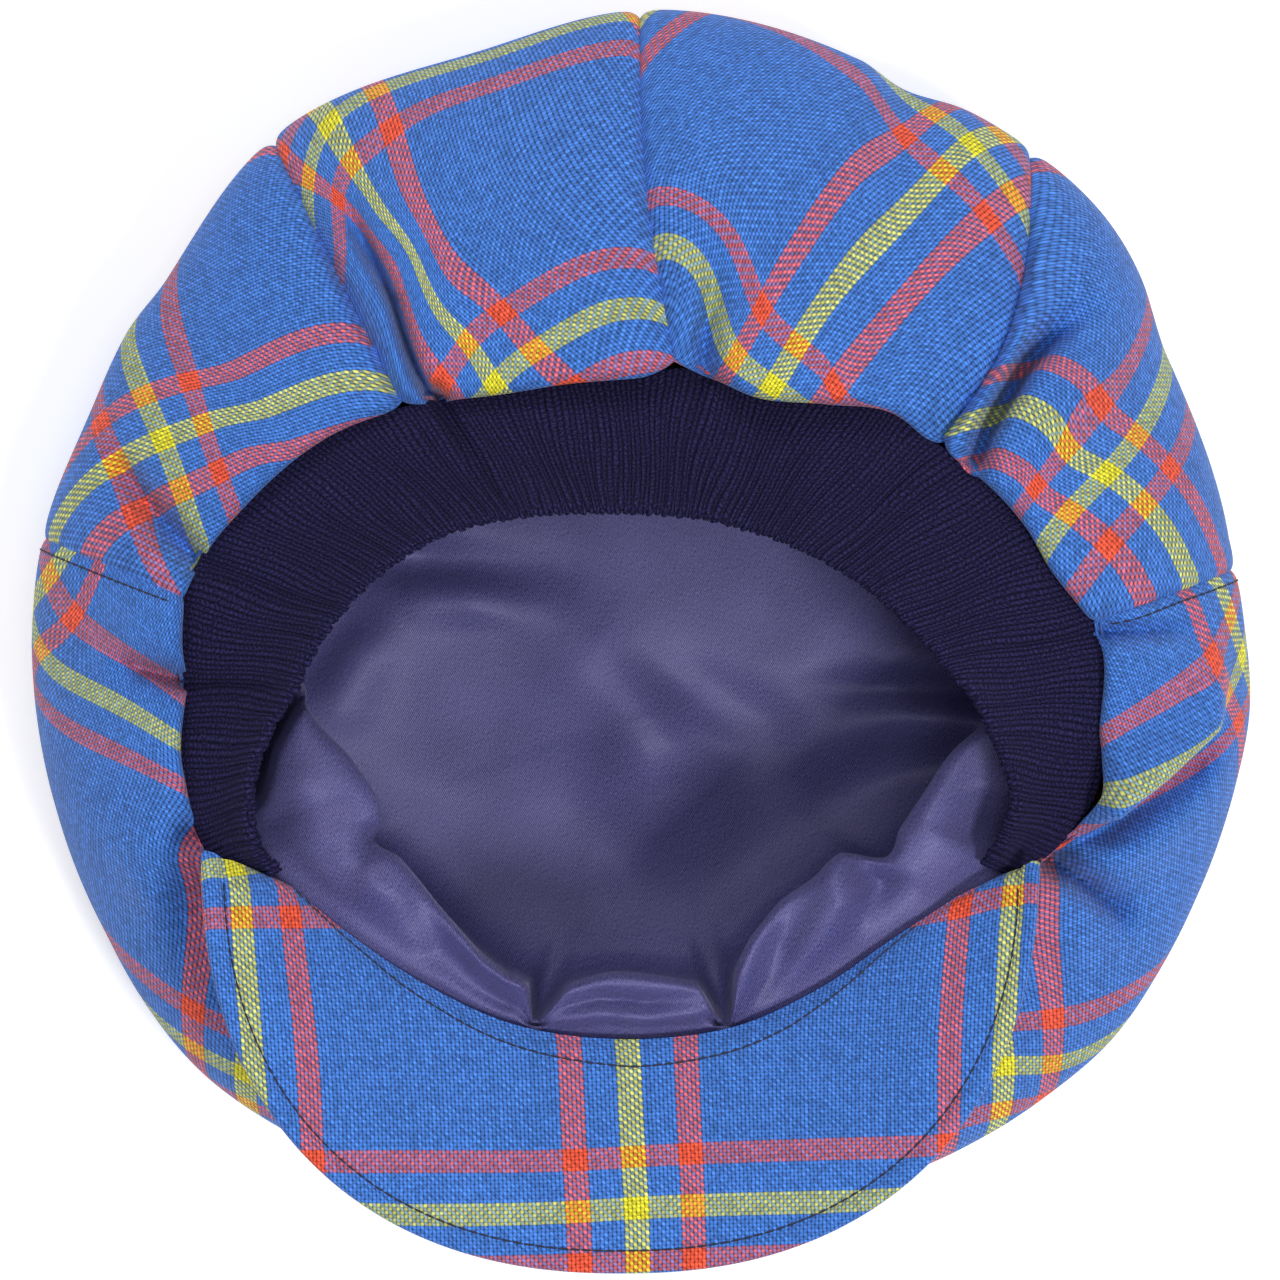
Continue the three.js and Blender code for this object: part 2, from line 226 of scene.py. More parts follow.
def superellipse(half_width, half_length, power, azimuth):
    across, along = np.moveaxis(np.abs(around(azimuth)), -1, 0)
    return ((across / half_width) ** power + (along / half_length) ** power) ** (-1 / power)


def even_mouth_radius(azimuth):
    power = mix(mouth["back_power"], mouth["front_power"],
                smooth(-0.2, 0.2, -np.sin(np.radians(azimuth))))
    return superellipse(mouth["half_width"], mouth["half_length"], power, azimuth)


def mouth_radius(azimuth):
    return even_mouth_radius(azimuth) + curve_through(mouth_wobble, 1, azimuth, 360)


def mouth_level(azimuth):
    return mouth_height + mouth_back_rise * np.maximum(0, np.sin(np.radians(azimuth))) ** 2


def seam_level(azimuth):
    return mouth_level(azimuth) - seam_below_mouth * (1 - front_share(azimuth))


def mouth_point(azimuth, offset, level):
    plan = around(azimuth) * (mouth_radius(azimuth) + offset)[..., None]
    return np.stack([plan[..., 0], plan[..., 1] + mouth["y"], level + 0 * plan[..., 0]], axis=-1)


def turn_between(azimuth, other):
    return np.mod(azimuth - other + 180, 360) - 180


def seam_sink(azimuth, radius, column):
    """How far the seams pull the cloth down; column 0 is by the widest line, 1 by the mouth."""
    sink = np.zeros_like(azimuth + radius)
    for seam in seams[:-1]:
        across = np.radians(turn_between(azimuth, seam[column])) * radius
        width = np.where(across < 0, seam[3], seam[4])
        sink += seam[2] * np.exp(-((np.abs(across) / width) ** 1.5))
    return sink


def crown_point(azimuth, along, dented=True):
    """Along 0 to 1 is the flat floor, 1 to 2 the side, 2 to 3 the underside in to the mouth."""
    radius = curve_through(crown_outline, 1, azimuth, 360)
    angle = np.radians(90 * np.clip(along - 1, 0, 1))
    reach = np.where(along < 1, mix(tip_hole / radius, flat_reach, along),
                     mix(flat_reach, 1, np.sin(angle) ** side_reach_power))
    side_level = widest_level * (1 - np.cos(angle) ** side_rise_power)
    below = np.concatenate([around(azimuth) * (reach * radius)[..., None],
                            side_level[..., None]], axis=-1)
    inner = mouth_azimuth(azimuth)
    front = front_share(inner)
    inward = np.clip((along - 2) / lip_start, 0, 1)
    turn = np.radians(lip_turn) * np.clip((along - 2 - lip_start) / (1 - lip_start), 0, 1)
    lip = lip_radius * (1 - front_lip_cut * front)
    start = around(azimuth) * radius[..., None]
    end = mouth_point(inner, 0, 0)[..., :2]
    gap = np.linalg.norm(end - start, axis=-1)
    rise = (1 - (1 - inward) ** underside_inward_power) ** (1 / underside_rise_power)
    shape = 0
    for at, width, begin, full, height in hips_and_valleys if dented else []:
        across = turn_between(azimuth, at) / width
        shape = shape + height * smooth(begin, full, inward) * np.exp(-across * across)
    shape = np.maximum(shape * (1 - front), -deepest_valley * rise)
    level = mix(widest_level, mouth_level(inner), rise) + shape - lip * (1 - np.cos(turn))
    share = (inward * (gap - lip) + lip * np.sin(turn)) / gap
    plan = mix(start, end, share[..., None])
    for seam in seams[:-1]:
        bow = seam[5] * np.exp(-((turn_between(azimuth, seam[0]) / seam_bow_width) ** 2))
        plan = plan + around(azimuth + 90) * (bow * np.sin(np.pi * inward))[..., None]
    above = np.concatenate([plan, level[..., None]], axis=-1)
    return np.where((along > 2)[..., None], above, below)


fold_strength = 1.3
lip_follow = 0.65
# Folds and creases of the underside: half width, how round it is (1 a sharp crease, 2 a soft
# fold), and its line as x, y and height
underside_folds = [
    (4.5, 2, [(-122, 33, -1), (-111, 20, -3.5), (-98, 6, -4)]),
    (2.6, 1.6, [(-121, 34, 0), (-116, 27, -4), (-108.5, 17.5, -6), (-98, 6, -7)]),
    (4.5, 1.7, [(-116, -15, -0.5), (-109, -18, -3), (-101, -20, -4.5)]),
    (2.2, 1.5, [(-118, -14.5, 0), (-111, -17.5, -5), (-101, -20.5, -8)]),
    (8, 2, [(-121, -6, 0), (-112, -8, 2), (-104, -8, 2.5)]),
    (7, 2, [(-97, -57, -5), (-97, -73, -4), (-93, -91, -1)]),
    (5, 1.6, [(-98, -55, -5), (-105, -58, -2), (-112, -64, 0)]),
    (8, 2, [(-103, -60, 2), (-110, -69, 2.5), (-113, -82, 0)]),
    (7, 2, [(-64, 94, 1), (-56, 81, 3), (-49, 64, 3), (-44, 46, 1)]),
    (3.5, 2, [(-70, 84, 1), (-62, 68, 1.5), (-56, 56, 1.5), (-52.5, 45, 1)]),
    (2.3, 2, [(-66, 86, 0), (-62.5, 79.5, -4), (-57, 71, -9), (-52.8, 63.7, -12),
              (-50.6, 55.7, -13), (-48, 48, -13), (-44.5, 41.5, -13)]),
    (3, 1.6, [(13, 80, 0), (16.5, 70, -3), (16, 64, -5), (14.5, 55, -6.5), (14, 44, -8)]),
    (6, 2, [(6, 75, 0), (10.5, 64, 2), (11.5, 50, 1)]),
    (9, 2, [(21, 64, 0), (23, 54, 3), (26, 43, 3)]),
    (14, 2, [(42, 64, 0), (46, 42, 2)]),
    (4.5, 2, [(92, 80, 0), (88, 67, 2), (83, 57, 4), (78.5, 47, 4), (74, 38, 2)]),
    (3.3, 2, [(104, 66.5, 0), (101.2, 63.6, -2), (96, 60, -4), (91.9, 56.1, -8), (86.9, 50.6, -12),
              (83.8, 45.6, -14), (80.7, 40.7, -14), (77.6, 35.1, -13), (75.1, 28.9, -10)]),
    (10, 2, [(104, 51, 1), (93, 35, 3), (86.5, 22, 2)]),
    (2.4, 1.7, [(126, -9.5, -1), (117, -9, -4), (103, -9.5, -7)]),
    (5, 2, [(133, -13, 2), (124.7, -26.5, 6), (112.4, -37, 8), (101.8, -45.5, 7)]),
    (4.8, 1.8, [(134.5, -30, -2), (125, -38.5, -8), (107, -50, -11), (93, -58, -8)]),
    (7, 2, [(122, -53.5, 1), (109, -58, 3), (100, -60.5, 2)]),
    (4, 1.6, [(91, -59.5, -8), (98.5, -64.5, -7), (106, -70, -4), (111, -76.5, 0)]),
    (2.4, 1.4, [(91, -60, -7), (99, -65.5, -8), (106.5, -71, -4), (115, -79, 0)]),
    (8, 2, [(113, -82, 0), (99.5, -75.5, 3), (93.5, -69, 3)]),
]
# width, how far it leans to +X and +Y, line with shares along cloth that hangs over a valley
leaning_folds = [
    (4.5, 3.4, -4.4, [(135, -10, 0), (133, -14, 0.6), (124.7, -26.5, 1), (112.4, -37, 1),
                      (101.8, -45.5, 1), (97, -50, 0.4)]),
    (3, -1.7, 1.3, [(104.5, 59.5, 0), (95, 52, 0.6), (90, 46.5, 1), (87, 41.5, 1), (84, 36.6, 1),
                    (81, 31, 1), (78.5, 25, 0.6)]),
    (3.2, -2.4, -1, [(-60.2, 86.6, 0), (-57.2, 76, 0.4), (-51.8, 66.5, 1), (-48.6, 57.5, 1),
                     (-44.2, 47.1, 1)]),
]


def fold_lift(x, y, folds):
    lift = np.zeros_like(x)
    for width, roundness, line in folds:
        nearest, height = np.full_like(x, 1e9), np.zeros_like(x)
        for (x0, y0, h0), (x1, y1, h1) in zip(line, line[1:]):
            run = (x1 - x0, y1 - y0)
            share = np.clip(((x - x0) * run[0] + (y - y0) * run[1]) / (run[0]**2 + run[1]**2), 0, 1)
            off = np.hypot(x - x0 - share * run[0], y - y0 - share * run[1])
            height = np.where(off < nearest, mix(h0, h1, share), height)
            nearest = np.minimum(off, nearest)
        lift += height * np.exp(-((nearest / width) ** roundness))
    return lift


def lip_drop(azimuth):
    """How far the folds and seams bring the soft edge of the mouth down."""
    edge = mouth_point(azimuth, 1, 0)
    folds = fold_strength * fold_lift(edge[..., 0], edge[..., 1], underside_folds)
    return lip_follow * (seam_sink(azimuth, mouth_radius(azimuth), 1) + np.maximum(-folds, 0))


def normals_of(grid, closed=False):
    if closed:
        padded = np.concatenate([grid[:, -1:], grid, grid[:, :1]], axis=1)
        across = (padded[:, 2:] - padded[:, :-2]) / 2
    else:
        across = np.gradient(grid, axis=1)
    normal = np.cross(across, np.gradient(grid, axis=0))
    return normal / np.maximum(np.linalg.norm(normal, axis=-1, keepdims=True), 1e-9)


def add_piece(name, points, faces, material, maps, nodes=()):
    """A mesh in metres from points in millimetres, with maps that hold a value at each point."""
    mesh = bpy.data.meshes.new(name)
    mesh.from_pydata((np.asarray(points) + crown_middle) / 1000, [], faces)
    corners = np.zeros(len(mesh.loops), np.int32)
    mesh.loops.foreach_get("vertex_index", corners)
    for map_name, values in maps.items():
        layer = mesh.uv_layers.new(name=map_name, do_init=False)
        layer.uv.foreach_set("vector", np.asarray(values, np.float32)[corners].ravel())
    mesh.materials.append(material)
    mesh.shade_smooth()
    mesh.set_sharp_from_angle(angle=math.radians(sharp_angle))
    piece = bpy.data.objects.new(name, mesh)
    bpy.context.collection.objects.link(piece)
    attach(piece, "root")
    if nodes:
        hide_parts(*nodes)


def shell_faces(rows, columns, closed=False):
    """Faces of a closed shell between an outer grid and a matching inner grid of points."""
    index = np.arange(rows * columns).reshape(rows, columns)
    if closed:
        index = np.concatenate([index, index[:, :1]], axis=1)
    quads = np.stack([index[:-1, :-1], index[:-1, 1:], index[1:, 1:], index[1:, :-1]], axis=-1)
    size = rows * columns
    faces = [quads.reshape(-1, 4), quads.reshape(-1, 4)[:, ::-1] + size]
    rims = [index[0], index[-1][::-1]]
    if not closed:
        rims += [index[:, 0][::-1], index[:, -1]]
    for rim in rims:
        faces.append(np.stack([rim[:-1], rim[:-1] + size, rim[1:] + size, rim[1:]], axis=-1))
    return np.concatenate(faces)


def facing_out(points, faces):
    corner = points[faces[:, 0]]
    volume = sum((corner * np.cross(points[faces[:, a]], points[faces[:, b]])).sum()
                 for a, b in ((1, 2), (2, 3)))
    return faces if volume > 0 else faces[:, ::-1]


# Tartan sett: half the repeat is 47 yarns. A yellow stripe of 6 yarns has a red one of 6 each side.
warp_pitch = 0.91
weft_pitch = 0.85
sett_half = 47.0
stripe_half = 3.0
red_from_yellow = 14.0
settle_reaches = (40.0, 16.0)
settle_stiffness = 0.08


def settle(flat, grid, visible, pins):
    """Moves a flat map of the cloth, in millimetres, so that its stripes cross at the pins.

    Each pin is x, y and the count of the warp and weft yarns there."""
    pins = np.array(pins, float)
    seen = np.argwhere(visible)
    plan = grid[..., :2][visible]
    near = [seen[np.argmin(((plan - pin[:2]) ** 2).sum(axis=1))] for pin in pins]
    have = np.array([flat[tuple(at)] for at in near])
    want = pins[:, 2:] * [warp_pitch, weft_pitch]
    start, goal = have - have.mean(axis=0), want - want.mean(axis=0)
    turn = math.atan2((start[:, 0] * goal[:, 1] - start[:, 1] * goal[:, 0]).sum(),
                      (start * goal).sum())
    rotation = np.array([[math.cos(turn), math.sin(turn)], [-math.sin(turn), math.cos(turn)]])
    laid = (flat - have.mean(axis=0)) @ rotation + want.mean(axis=0)
    have = (have - have.mean(axis=0)) @ rotation + want.mean(axis=0)
    for reach in settle_reaches:
        spread = ((have[:, None] - have[None]) ** 2).sum(axis=-1)
        kernel = np.exp(-spread / reach**2)
        pull = np.linalg.solve(kernel + settle_stiffness * np.eye(len(pins)), want - have)
        off = ((laid[..., None, :] - have) ** 2).sum(axis=-1)
        laid = laid + np.exp(-off / reach**2) @ pull
        have = have + kernel @ pull
    return laid / [warp_pitch, weft_pitch]


def node_group(name, inputs, outputs):
    group = bpy.data.node_groups.new(name, "ShaderNodeTree")
    for socket, kind in inputs:
        group.interface.new_socket(socket, in_out="INPUT", socket_type=kind)
    for socket, kind in outputs:
        group.interface.new_socket(socket, in_out="OUTPUT", socket_type=kind)
    return group, group.nodes.new("NodeGroupInput"), group.nodes.new("NodeGroupOutput")


def feed(tree, socket, value):
    """Links another node's output to a socket, or sets the socket to a plain value."""
    if isinstance(value, bpy.types.NodeSocket):
        tree.links.new(value, socket)
    else:
        socket.default_value = value


def math_node(tree, operation, *values):
    node = tree.nodes.new("ShaderNodeMath")
    node.operation = operation
    for socket, value in zip(node.inputs, values):
        feed(tree, socket, value)
    return node.outputs[0]


def mix_colours(tree, factor, first, second):
    node = tree.nodes.new("ShaderNodeMix")
    node.data_type = "RGBA"
    feed(tree, node.inputs["Factor"], factor)
    feed(tree, node.inputs[6], first)
    feed(tree, node.inputs[7], second)
    return node.outputs[2]


def noise_value(tree, vector, scale, detail=2.0, roughness=0.5):
    node = tree.nodes.new("ShaderNodeTexNoise")
    node.inputs["Scale"].default_value = scale
    node.inputs["Detail"].default_value = detail
    node.inputs["Roughness"].default_value = roughness
    tree.links.new(vector, node.inputs["Vector"])
    return node.outputs["Fac"]


def add_bump(tree, shader, height, strength, distance):
    """A bump from a node's height, with its distance in metres."""
    bump = tree.nodes.new("ShaderNodeBump")
    bump.inputs["Strength"].default_value = strength
    bump.inputs["Distance"].default_value = distance
    tree.links.new(height, bump.inputs["Height"])
    tree.links.new(bump.outputs[0], shader.inputs["Normal"])


def tartan_weave():
    """Plain weave of coloured yarns, from a map that counts the yarns."""
    tree, given, result = node_group(
        "tartan_weave",
        [("Yarns", "NodeSocketVector"), ("Blue", "NodeSocketColor"),
         ("Red", "NodeSocketColor"), ("Yellow", "NodeSocketColor")],
        [("Color", "NodeSocketColor"), ("Height", "NodeSocketFloat")])
    wander = noise_value(tree, given.outputs["Yarns"], 0.35, 2.0)
    parts = tree.nodes.new("ShaderNodeSeparateXYZ")
    tree.links.new(given.outputs["Yarns"], parts.inputs[0])
    wobble = math_node(tree, "MULTIPLY", math_node(tree, "SUBTRACT", wander, 0.5), 0.35)
    found = {}
    for name, socket in (("warp", parts.outputs[0]), ("weft", parts.outputs[1])):
        count = math_node(tree, "ADD", socket, wobble)
        yarn = math_node(tree, "FLOOR", count)
        across = math_node(tree, "SUBTRACT", math_node(tree, "SUBTRACT", count, yarn), 0.5)
        place = math_node(tree, "ABSOLUTE", math_node(
            tree, "WRAP", math_node(tree, "ADD", yarn, 0.5), sett_half, -sett_half))
        yellow = math_node(tree, "LESS_THAN", place, stripe_half)
        red = math_node(tree, "LESS_THAN", math_node(
            tree, "ABSOLUTE", math_node(tree, "SUBTRACT", place, red_from_yellow)), stripe_half)
        colour = mix_colours(tree, red, given.outputs["Blue"], given.outputs["Red"])
        colour = mix_colours(tree, yellow, colour, given.outputs["Yellow"])
        shade = tree.nodes.new("ShaderNodeTexWhiteNoise")
        shade.noise_dimensions = "1D"
        tree.links.new(yarn, shade.inputs["W"])
        plain = math_node(tree, "SUBTRACT", 1.0, math_node(tree, "MAXIMUM", red, yellow))
        found[name] = (yarn, across, colour, shade.outputs["Value"], plain)
    warp_yarn, warp_across, warp_colour, warp_shade, warp_plain = found["warp"]
    weft_yarn, weft_across, weft_colour, weft_shade, weft_plain = found["weft"]
    over = math_node(tree, "PINGPONG", math_node(tree, "ADD", warp_yarn, weft_yarn), 1.0)
    past = math_node(tree, "SIGN", weft_across)
    run = math_node(tree, "SUBTRACT", weft_across, math_node(
        tree, "MULTIPLY", past, math_node(tree, "SUBTRACT", 1.0, over)))
    off = math_node(tree, "ADD", warp_across, math_node(tree, "MULTIPLY", run, 0.26))
    warp_float = math_node(tree, "MULTIPLY", math_node(tree, "SQRT", math_node(
        tree, "SUBTRACT", 1.0, math_node(tree, "POWER", math_node(
            tree, "ABSOLUTE", math_node(tree, "MULTIPLY", off, 2.15)), 2.0))),
        math_node(tree, "COSINE", math_node(tree, "MINIMUM", math_node(
            tree, "ABSOLUTE", math_node(tree, "MULTIPLY", run, 2.0)), 1.57)))
    weft_float = math_node(tree, "MULTIPLY", math_node(tree, "SQRT", math_node(
        tree, "SUBTRACT", 1.0, math_node(tree, "POWER", math_node(
            tree, "ABSOLUTE", math_node(tree, "MULTIPLY", weft_across, 1.95)), 2.0))),
        math_node(tree, "COSINE", math_node(tree, "MULTIPLY", warp_across, 2.6)))
    weft_float = math_node(tree, "MULTIPLY", math_node(tree, "MULTIPLY", weft_float, 0.8),
                           math_node(tree, "SUBTRACT", 1.0, over))
    height = math_node(tree, "MAXIMUM", warp_float, weft_float)
    over = math_node(tree, "GREATER_THAN", warp_float, weft_float)
    colour = mix_colours(tree, over, weft_colour, warp_colour)
    beside = mix_colours(tree, over, warp_colour, weft_colour)
    plain = math_node(tree, "ADD", math_node(tree, "MULTIPLY", warp_plain, over),
                      math_node(tree, "MULTIPLY", weft_plain,
                                math_node(tree, "SUBTRACT", 1.0, over)))
    # Painted light: the yarn's colour is multiplied by the colour of the yarn beside it. This is a
    # painted tint of light bounced between the yarns.
    painted_bounce = tree.nodes.new("ShaderNodeMix")
    painted_bounce.data_type = "RGBA"
    painted_bounce.blend_type = "MULTIPLY"
    tree.links.new(math_node(tree, "ADD", 0.12, math_node(tree, "MULTIPLY", plain, 0.25)),
                   painted_bounce.inputs["Factor"])
    tree.links.new(mix_colours(tree, 0.2, colour, beside), painted_bounce.inputs[6])
    tree.links.new(beside, painted_bounce.inputs[7])
    colour = painted_bounce.outputs[2]
    cell = tree.nodes.new("ShaderNodeCombineXYZ")
    tree.links.new(warp_yarn, cell.inputs[0])
    tree.links.new(weft_yarn, cell.inputs[1])
    speck = tree.nodes.new("ShaderNodeTexWhiteNoise")
    speck.noise_dimensions = "2D"
    tree.links.new(cell.outputs[0], speck.inputs["Vector"])
    shade = math_node(tree, "ADD",
                      math_node(tree, "MULTIPLY", warp_shade, over),
                      math_node(tree, "MULTIPLY", weft_shade,
                                math_node(tree, "SUBTRACT", 1.0, over)))
    fuzz = noise_value(tree, given.outputs["Yarns"], 3.5, 3.0, 0.7)
    # Painted shade: the colour is darkened where the floats are low, in the gaps between the yarns.
    # It is also varied at random by the fuzz, yarn and cell noise.
    light = math_node(tree, "ADD", 0.12, math_node(tree, "MULTIPLY", height, 1.08))
    light = math_node(tree, "MULTIPLY", light, math_node(
        tree, "ADD", 0.6, math_node(tree, "MULTIPLY", fuzz, 0.8)))
    light = math_node(tree, "MULTIPLY", light, math_node(
        tree, "ADD", 0.88, math_node(tree, "MULTIPLY", shade, 0.24)))
    light = math_node(tree, "MULTIPLY", light, math_node(
        tree, "ADD", 0.78, math_node(tree, "MULTIPLY", speck.outputs["Value"], 0.44)))
    scale = tree.nodes.new("ShaderNodeVectorMath")
    scale.operation = "SCALE"
    tree.links.new(colour, scale.inputs[0])
    tree.links.new(light, scale.inputs["Scale"])
    tree.links.new(scale.outputs[0], result.inputs["Color"])
    bumps = math_node(tree, "ADD", height, math_node(tree, "MULTIPLY", fuzz, 0.5))
    tree.links.new(bumps, result.inputs["Height"])
    return tree


def map_output(tree, name):
    node = tree.nodes.new("ShaderNodeUVMap")
    node.uv_map = name
    return node.outputs[0]


yarn_colours = {
    "Blue": (0.098, 0.298, 0.785, 1), "Red": (1.0, 0.125, 0.06, 1),
    "Yellow": (0.92, 0.86, 0.045, 1),
}
tartan, tree, shader = new_material("wool_tartan", {
    "Roughness": 0.85, "Specular IOR Level": 0.2, "Sheen Weight": 0.12, "Sheen Roughness": 0.5})
cloth = tree.nodes.new("ShaderNodeGroup")
cloth.node_tree = tartan_weave()
for name, colour in yarn_colours.items():
    cloth.inputs[name].default_value = colour
tree.links.new(map_output(tree, "yarns"), cloth.inputs["Yarns"])
tree.links.new(cloth.outputs["Color"], shader.inputs["Base Color"])
add_bump(tree, shader, cloth.outputs["Height"], strength=0.5, distance=0.0002)

# name, its seams, columns, and where the sett's stripes cross: x, y, warp count, weft count
panels = [
    ("rear_panel_right", 0, 1, 110, [
        (103.8, 25.4, 0, 0), (102.4, 41, -14, 14), (119.2, 26.8, -14, -14),
        (87.1, 22.9, 14, 14), (103.9, 9.8, 14, -14), (123.4, -0.2, 0, -43),
        (92.5, 32.8, 0, 17), (81.5, 40.5, 0, 34), (70.9, 35.4, 0, 49), (89.7, 49.9, -14, 33),
        (76, 46.6, -14, 51)]),
    ("rear_panel_middle_right", 1, 2, 110, [
        (74.7, 100.1, 0, 0), (29.5, 44.3, 0, 94), (59.5, 102.2, -14, 14),
        (77.8, 83.1, 14, 14), (26.3, 60.8, -14, 80), (42.8, 43.7, 14, 80),
        (22.2, 73, -28, 80), (13.3, 83, -42, 80), (2.7, 85.7, -54, 80),
        (13.3, 71.3, -42, 94), (2.7, 74.9, -53, 94)]),
    ("rear_panel_middle_left", 2, 3, 110, [
        (-70.2, 105.7, 0, 0), (-31.7, 44.4, 0, 94), (-54.9, 103.4, 14, 14),
        (-29.6, 60.5, 14, 80), (-14.2, 44.3, 14, 108), (-68.1, 87.4, -14, 14),
        (-60.8, 89, 0, 21), (-52.4, 77, 0, 41), (-46.5, 65.1, 0, 60), (-58.8, 76.6, -14, 31),
        (-53.1, 68.9, -14, 44), (-50.4, 61, -14, 56), (-48.5, 53.9, -14, 67),
        (-42.7, 45.3, -14, 80), (-73.8, 92, -14, 0), (-65.9, 75.3, -31, 14)]),
    ("rear_panel_left", 3, 4, 110, [
        (-106.2, 33.4, 0, 0), (-99.8, 46.5, 14, 14), (-92.5, 25.9, -14, 14),
        (-121.7, 37.2, 14, -14), (-57.5, 56.3, 14, 69), (-53.2, 45.2, 0, 70)]),
    ("front_panel", 4, 6, 330, [
        (-100.6, -94, -108, 14), (-100, -104.1, -108, 0), (-126.1, -6.4, -174, 108),
        (-135.5, -13.1, -174, 94), (-133, 3.4, -188, 108), (-100.5, -35, -114, 94),
        (-100.5, -23.8, -117, 108), (-101, -45.4, -112, 80), (-98, -57, -108, 62),
        (92.6, -95.7, 108, 14), (92.6, -107, 108, 0), (81.3, -107.2, 94, 0),
        (128.1, -15.8, 174, 108), (135.2, -29.8, 174, 80), (136.3, -14.7, 188, 94),
        (133.2, -5.7, 188, 108), (101.2, -45.4, 118, 94), (102.3, -33.7, 122, 108),
        (94.7, -53.2, 113, 80), (89.8, -64.2, 108, 62)]),
]
panel_rows = np.concatenate([
    np.linspace(0, 1, 8)[:-1], np.linspace(1, 2, 34)[:-1],
    2 + np.linspace(0, 1, 24)[:-1] ** 1.5 * 0.22, np.linspace(2.22, 2 + lip_start, 62)[:-1],
    np.linspace(2 + lip_start, 3, 18)])
groove_width = 1.4
fold_loss_at_lip = 0.35
lean_loss_at_lip = 0.8
front_cone = 0.64


def crown_panel_grid(first, last, columns):
    start, end = seams[first][0], seams[last][0]
    share = np.linspace(0, 1, columns)
    share = mix(share, 0.5 - 0.5 * np.cos(share * math.pi), 0.6)
    azimuth, along = np.meshgrid(mix(start, end, share), panel_rows)
    grid = crown_point(azimuth, along)
    smooth_grid = crown_point(azimuth, along, dented=False)
    radius = np.hypot(grid[..., 0], grid[..., 1])
    from_first = np.radians(azimuth - start) * radius
    from_last = np.radians(end - azimuth) * radius
    groove = np.maximum(seams[first][6] * np.exp(-from_first / groove_width),
                        seams[last][6] * np.exp(-from_last / groove_width))
    pull = seam_sink(azimuth, radius, 0) * smooth(2.05, 2.5, along)
    grid = grid - normals_of(grid) * (groove * smooth(1.05, 1.4, along))[..., None]
    folds = fold_lift(grid[..., 0], grid[..., 1], underside_folds) * smooth(2.08, 2.35, along)
    at_lip = smooth(2 + lip_start, 3, along)
    grid[..., 2] += (fold_strength * folds - pull) * (1 - fold_loss_at_lip * at_lip)
    x, y = grid[..., 0].copy(), grid[..., 1].copy()
    for width, lean_x, lean_y, line in leaning_folds:
        share = fold_lift(x, y, [(width, 2, line)])
        share = share * smooth(2.08, 2.35, along) * (1 - lean_loss_at_lip * at_lip)
        share = share * smooth(0, 3, np.minimum(from_first, from_last))
        grid[..., :2] += share[..., None] * np.array((lean_x, lean_y))
    return grid, smooth_grid, azimuth, along


def lengths(steps, axis):
    """Running length along a grid's rows or columns, from its first."""
    run = np.cumsum(np.sqrt((np.diff(steps, axis=axis) ** 2).sum(axis=-1)), axis=axis)
    pad = [(0, 0), (0, 0)]
    pad[axis] = (1, 0)
    return np.pad(run, pad)


crown_grids = {}
for name, first, last, columns, pins in panels:
    grid, plain, azimuth, along = crown_panel_grid(first, last, columns)
    crown_grids[name] = grid
    if name == "front_panel":
        widest = np.argmin(np.abs(panel_rows - 2))
        run = lengths(plain, 0)
        rho = curve_through(crown_outline, 1, azimuth, 360) / front_cone - (run - run[widest])
        turn = np.radians(front_cone * (azimuth - 270))
        flat = np.stack([rho * np.sin(turn), -rho * np.cos(turn)], axis=-1)
    else:
        outward = around(np.array((seams[first][0] + seams[last][0]) / 2))
        aside = np.array([-outward[1], outward[0]])
        inward = lengths(np.stack([plain[..., :2] @ outward, plain[..., 2]], axis=-1), 0)
        flat = outward * inward[..., None] + aside * (plain[..., :2] @ aside)[..., None]
    yarns = settle(flat, grid, along > 2, pins)
    back = grid - normals_of(grid) * cloth_thickness
    points = np.concatenate([grid.reshape(-1, 3), back.reshape(-1, 3)])
    faces = facing_out(points, shell_faces(*grid.shape[:2]))
    add_piece(name, points, faces, tartan, {"yarns": np.tile(yarns.reshape(-1, 2), (2, 1))},
              [name])

# ---------------------------------------------------------------- knitted band
# A ribbed navy band, knitted and folded double, sewn inside the back of the mouth. It stands
# up from its seam and leans in over the hollow.
band_ends = (-24, 204)
band_thickness = 3.0
band_tuck = 0.8
rib_pitch = 2.75
rib_depth = 0.32
course_pitch = 1.3
band_foot = 6.5
band_follow = 0.5
band_sag = 0.07
ruffle_depth = 0.35
least_reach = 1.5
deepest_drop = 9
# azimuth, how far its free edge stands in from the mouth's even curve, how far up from the seam
band_edge = [
    (-24, 6, 9), (-20.5, 7.4, 12), (-16, 9.5, 15), (-11.6, 13.5, 17), (-4.4, 22.5, 20),
    (1.2, 27, 21), (9, 33.5, 20), (19, 37.8, 19), (29, 38.8, 19), (41.5, 37.2, 19),
    (57, 33.6, 18), (73, 30.2, 18), (90, 28.7, 19), (111, 29.1, 19), (125, 29.9, 19),
    (138, 30.6, 20), (150, 31.5, 20), (163.5, 30.2, 22), (176.5, 25.3, 22), (184, 18.7, 20),
    (191, 10.4, 17), (199, 3.4, 13), (204, 1.8, 9),
]
